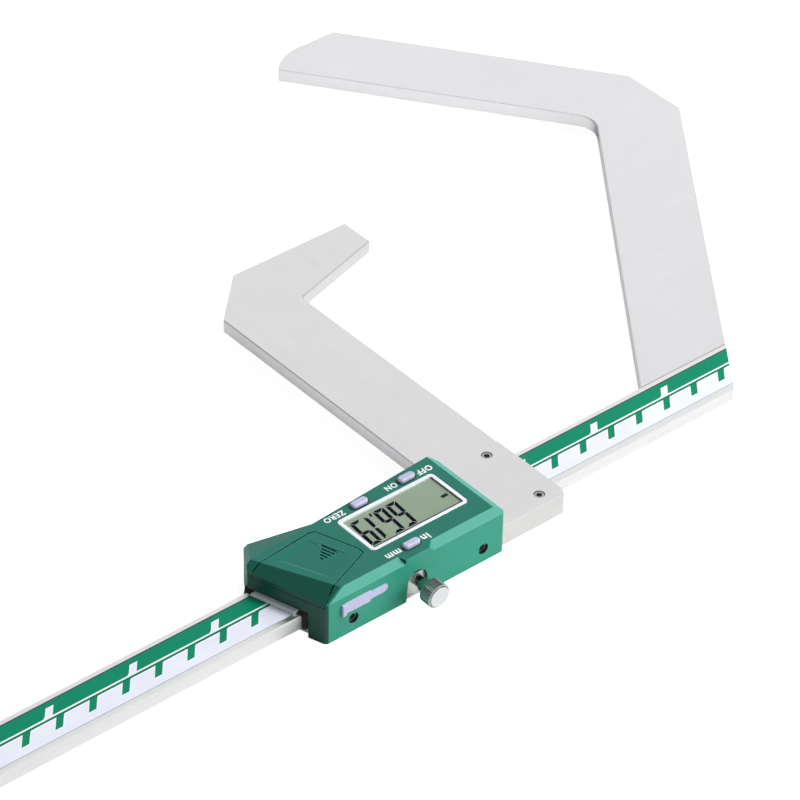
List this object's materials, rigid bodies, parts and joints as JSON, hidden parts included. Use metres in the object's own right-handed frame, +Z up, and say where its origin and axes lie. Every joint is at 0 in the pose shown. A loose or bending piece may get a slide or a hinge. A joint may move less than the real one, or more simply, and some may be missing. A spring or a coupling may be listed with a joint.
{
  "type": "digital v-type caliper",
  "caption": "Digital caliper with a V-shaped fixed jaw and a hooked sliding jaw on a flat beam, with display, buttons, battery cover and lock screw.",
  "frame": {"origin": "on the beam's centre line, in the underside of the slider's bottom plate", "axes": "+X along the beam towards the fixed jaw, +Y from the beam towards the jaw tips, +Z up out of the display"},
  "size_m": [0.3779, 0.2197, 0.0154],
  "materials": {
    "steel": "satin, fine grain along the part",
    "steel_dark": "plain",
    "plate": "bright rolled sheet",
    "knob": "bright turned, straight knurl",
    "brass": "plain",
    "cell": "bright nickel",
    "label": "printed film, green border and scale",
    "cover": "moulded, semi-gloss, dark green",
    "frame": "moulded, pale lavender grey",
    "dark_plastic": "moulded, black",
    "felt": "pressed felt, black",
    "rubber": "silicone with conducting layers",
    "window": "clear",
    "panel": "display glass, grey green",
    "board": "circuit board"
  },
  "bodies": {
    "beam": {"beam": "steel", "scale_grid": "board", "scale_label": "label", "fixed_jaw": "steel", "jaw_rivets": "steel_dark", "end_stop": "steel_dark", "end_stop_screws": "steel_dark"},
    "slider": {"slider_base": "steel", "sliding_jaw": "steel", "jaw_screws": "steel_dark", "gib_strip": "brass", "gib_screws": "steel_dark", "lock_pad": "brass", "bottom_plate": "plate", "plate_screws": "steel_dark", "wiper_strip": "frame", "felt_seal": "felt", "housing": "cover", "port_contacts": "dark_plastic", "display_frame": "frame", "display_window": "window", "lcd_panel": "panel", "zebra_strips": "rubber", "circuit_board": "board", "board_parts": "dark_plastic", "button_domes": "dark_plastic", "battery": "cell", "battery_contacts": "brass"},
    "lock_screw": {"lock_screw": "knob"},
    "on_off_button": {"on_off_button": "frame"},
    "zero_button": {"zero_button": "frame"},
    "unit_button": {"unit_button": "frame"},
    "battery_cover": {"battery_cover": "cover"},
    "port_cover": {"port_cover": "frame"}
  },
  "joints": [
    {"name": "slider_slide", "type": "slide", "parent": "beam", "child": "slider", "axis": [1, 0, 0], "range_m": [-0.133, 0.046]},
    {"name": "lock_screw_turn", "type": "hinge", "parent": "slider", "child": "lock_screw", "pos_m": [0.0034, -0.02, 0.00525], "axis": [0, 1, 0], "range_deg": [-360, 45]},
    {"name": "on_off_press", "type": "slide", "parent": "slider", "child": "on_off_button", "axis": [0, 0, -1], "range_m": [0, 0.0004], "stiffness_N_per_m": 2000},
    {"name": "zero_press", "type": "slide", "parent": "slider", "child": "zero_button", "axis": [0, 0, -1], "range_m": [0, 0.0004], "stiffness_N_per_m": 2000},
    {"name": "unit_press", "type": "slide", "parent": "slider", "child": "unit_button", "axis": [0, 0, -1], "range_m": [0, 0.0004], "stiffness_N_per_m": 2000},
    {"name": "battery_cover_slide", "type": "slide", "parent": "slider", "child": "battery_cover", "axis": [-0.9563, -0.2924, 0], "range_m": [0, 0.028]},
    {"name": "port_cover_pull", "type": "slide", "parent": "slider", "child": "port_cover", "axis": [0, -1, 0], "range_m": [0, 0.008]}
  ]
}
